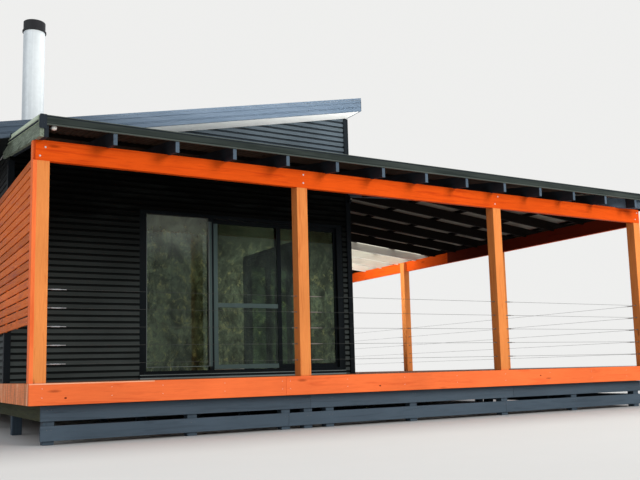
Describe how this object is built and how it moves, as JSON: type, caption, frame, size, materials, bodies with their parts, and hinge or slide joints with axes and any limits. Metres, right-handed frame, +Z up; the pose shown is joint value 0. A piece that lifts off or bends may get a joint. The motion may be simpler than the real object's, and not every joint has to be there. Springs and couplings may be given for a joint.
{
  "type": "beach house with wrap-around verandah",
  "caption": "Single-storey beach house with a pitched metal roof, dark corrugated walls, and a raised timber deck under a verandah that wraps round two sides.",
  "frame": {"origin": "on the ground, under the centre of the house's outline on plan", "axes": "+X along the front to the right, +Y from the front to the back, +Z up"},
  "size_m": [10.53, 10.662, 5.685],
  "materials": {
    "stump_timber": "rough sawn, weathered",
    "framing_timber": "sawn",
    "deck_timber": "oiled boards",
    "fascia_stain": "semi-gloss stain",
    "base_paint": "matt paint",
    "post_stain": "semi-gloss stain",
    "beam_stain": "semi-gloss stain",
    "rafter_paint": "satin paint",
    "rafter_dark": "dark stain",
    "batten_timber": "sawn",
    "verandah_steel": "satin",
    "clear_sheet": "translucent",
    "edge_steel": "satin",
    "screen_stain": "semi-gloss stain",
    "wire_steel": "bright",
    "floor_timber": "satin boards",
    "cladding_steel": "matt",
    "trim_steel": "satin",
    "main_roof_steel": "satin",
    "soffit_lining": "matt paint",
    "frame_aluminium": "powder coat",
    "window_glass": "clear",
    "flue_zinc": "galvanised",
    "cowl_steel": "matt",
    "lamp_white": "opal"
  },
  "bodies": {
    "house": {"stumps": "stump_timber", "bearers": "framing_timber", "joists": "framing_timber", "deck_floor": "deck_timber", "deck_fascia_front": "fascia_stain", "deck_fascia_sides": "fascia_stain", "base_boards_front": "base_paint", "base_boards_sides": "base_paint", "corner_post_left": "post_stain", "front_posts": "post_stain", "corner_post_right": "post_stain", "side_posts": "post_stain", "front_beam": "beam_stain", "side_beam": "beam_stain", "hip_rafter": "rafter_paint", "front_rafters": "rafter_paint", "side_rafters": "rafter_dark", "roof_battens": "batten_timber", "front_roof_sheet": "verandah_steel", "side_roof_sheet": "verandah_steel", "clear_roof_sheet": "clear_sheet", "roof_edges": "edge_steel", "barge_boards": "edge_steel", "slat_screen": "screen_stain", "balustrade_wires": "wire_steel", "house_floor": "floor_timber", "front_wall_left": "cladding_steel", "front_wall_head": "cladding_steel", "front_wall_right": "cladding_steel", "left_wall": "cladding_steel", "rear_wall": "cladding_steel", "right_wall": "cladding_steel", "corner_trims": "trim_steel", "main_roof": "main_roof_steel", "main_fascia": "main_roof_steel", "main_soffit": "soffit_lining", "front_glazing_frame": "frame_aluminium", "side_glazing_frame": "frame_aluminium", "front_fixed_glass": "window_glass", "side_glazing_glass": "window_glass", "flue_pipe": "flue_zinc", "flue_cowl": "cowl_steel", "verandah_lights": "lamp_white"},
    "door": {"sliding_leaf": "frame_aluminium", "sliding_glass": "window_glass"}
  },
  "joints": [
    {"name": "door_slide", "type": "slide", "parent": "house", "child": "door", "axis": [1, 0, 0], "range_m": [0, 0.98]}
  ]
}
